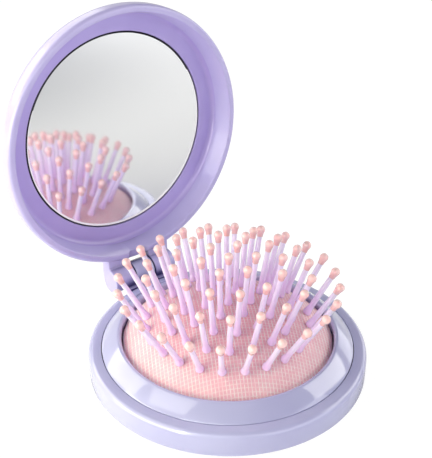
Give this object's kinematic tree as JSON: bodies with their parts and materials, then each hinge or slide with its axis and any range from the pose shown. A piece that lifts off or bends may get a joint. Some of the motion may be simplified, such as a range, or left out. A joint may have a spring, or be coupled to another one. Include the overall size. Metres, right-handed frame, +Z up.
{
  "type": "folding hairbrush with mirror",
  "caption": "Round pocket hairbrush: ball-tipped bristles on a pop-up domed rubber pad in a dished base, with a hinged lid that holds a round mirror.",
  "frame": {"origin": "centre of the foot ring, on the plane that the brush stands on", "axes": "+Z up, out of the bristle pad; +Y from the base to the hinge; +X along the hinge pin"},
  "size_m": [0.07, 0.087, 0.0888],
  "materials": {
    "shell_lavender": "glossy moulded lavender plastic",
    "bezel_lavender": "glossy moulded lavender plastic",
    "pink_rubber": "satin pink rubber with a fine square mesh",
    "clamp_plastic": "plain moulded lavender plastic",
    "pin_steel": "drawn steel wire",
    "button_plastic": "satin pink plastic",
    "stem_lilac": "satin flexible lilac plastic",
    "tip_peach": "smooth peach plastic beads",
    "frame_lavender": "satin lavender plastic",
    "mirror_glass": "silvered flat glass",
    "tape": "white foam adhesive tape"
  },
  "bodies": {
    "base": {"base_shell": "shell_lavender", "bezel_ring": "bezel_lavender", "cushion": "pink_rubber", "cushion_clamp_ring": "clamp_plastic", "hinge_pin": "pin_steel"},
    "bristle_core": {"press_button": "button_plastic", "bristle_stems_row_1": "stem_lilac", "bristle_tips_row_1": "tip_peach", "bristle_stems_row_2": "stem_lilac", "bristle_tips_row_2": "tip_peach", "bristle_stems_row_3": "stem_lilac", "bristle_tips_row_3": "tip_peach"},
    "bristle_middle_ring": {"bristle_stems_row_4": "stem_lilac", "bristle_tips_row_4": "tip_peach"},
    "bristle_outer_ring": {"bristle_stems_row_5": "stem_lilac", "bristle_tips_row_5": "tip_peach"},
    "lid": {"lid_shell": "shell_lavender", "mirror_frame": "frame_lavender", "mirror_glass": "mirror_glass", "mirror_tape": "tape"}
  },
  "joints": [
    {"name": "lid_hinge", "type": "hinge", "parent": "base", "child": "lid", "pos_m": [0, 0.0396, 0.0144], "axis": [1, 0, 0], "range_deg": [0, 93.5]},
    {"name": "bristle_core_drop", "type": "slide", "parent": "base", "child": "bristle_core", "axis": [0, 0, -1], "range_m": [0, 0.0204], "deforming": ["cushion"]},
    {"name": "bristle_middle_drop", "type": "slide", "parent": "base", "child": "bristle_middle_ring", "axis": [0, 0, -1], "range_m": [0, 0.0164], "deforming": ["cushion"]},
    {"name": "bristle_outer_drop", "type": "slide", "parent": "base", "child": "bristle_outer_ring", "axis": [0, 0, -1], "range_m": [0, 0.0122], "deforming": ["cushion"]}
  ],
  "couplings": [
    {"joint": "bristle_core_drop", "follows": "lid_hinge", "m_per_rad": 0.01244},
    {"joint": "bristle_middle_drop", "follows": "lid_hinge", "m_per_rad": 0.0099885},
    {"joint": "bristle_outer_drop", "follows": "lid_hinge", "m_per_rad": 0.0074147}
  ]
}
